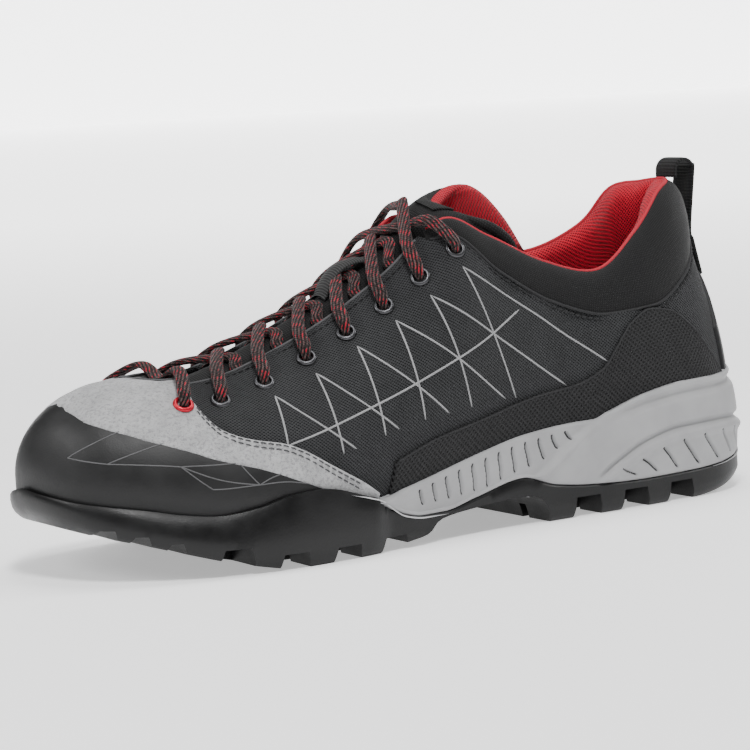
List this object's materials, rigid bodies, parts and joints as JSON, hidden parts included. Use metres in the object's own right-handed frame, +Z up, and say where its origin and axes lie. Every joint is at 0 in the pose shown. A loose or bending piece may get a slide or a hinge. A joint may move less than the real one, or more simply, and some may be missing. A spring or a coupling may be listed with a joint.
{
  "type": "approach shoe",
  "caption": "Low hiking and scrambling shoe for the left foot: mesh upper laced down to the toes, suede and rubber toe, cupped foam midsole and lugged rubber outsole.",
  "frame": {"origin": "on the floor, at the middle of the heel's flat tread", "axes": "+X to the toe, +Y to the outer side of the foot, +Z up"},
  "size_m": [0.284, 0.1035, 0.121],
  "materials": {
    "tread_rubber": "satin black rubber",
    "midsole_foam": "matte moulded foam",
    "footbed": "knit over foam",
    "mesh": "fine woven mesh with pale lines",
    "rand_rubber": "matte rubber with fine grey lines",
    "suede": "brushed suede",
    "side_mesh": "moulded black mesh with a raised grid",
    "heel_strip": "smooth strip",
    "collar_cloth": "stretch cloth over foam, red lining",
    "tongue_cloth": "padded cloth, red lining",
    "patch": "plain woven patch",
    "webbing": "ribbed webbing",
    "plug": "satin",
    "eyelet": "dark gunmetal",
    "eyelet_red": "satin red paint",
    "lace": "flat braid, charcoal with red flecks"
  },
  "bodies": {
    "root": {"outsole": "tread_rubber", "midsole": "midsole_foam", "insole": "footbed", "upper": "mesh", "toe_rand": "rand_rubber", "mudguard": "suede", "side_panel_outer": "side_mesh", "side_panel_inner": "side_mesh", "backstay": "heel_strip", "collar_pad": "collar_cloth", "tongue": "tongue_cloth", "tongue_patch": "patch", "lace_keeper": "webbing", "heel_plug": "plug", "pull_loop": "webbing", "eyelet_outer_1": "eyelet_red", "eyelet_inner_1": "eyelet_red", "eyelet_outer_2": "eyelet", "eyelet_inner_2": "eyelet", "eyelet_outer_3": "eyelet", "eyelet_inner_3": "eyelet", "eyelet_outer_4": "eyelet", "eyelet_inner_4": "eyelet", "eyelet_outer_5": "eyelet", "eyelet_inner_5": "eyelet", "eyelet_outer_6": "eyelet", "eyelet_inner_6": "eyelet", "eyelet_outer_7": "eyelet", "eyelet_inner_7": "eyelet", "eyelet_outer_8": "eyelet", "eyelet_inner_8": "eyelet", "lace_bar": "lace", "lace_cross_1": "lace", "lace_cross_2": "lace", "lace_cross_3": "lace", "lace_cross_4": "lace", "lace_cross_5": "lace", "lace_cross_6": "lace"}
  },
  "joints": []
}
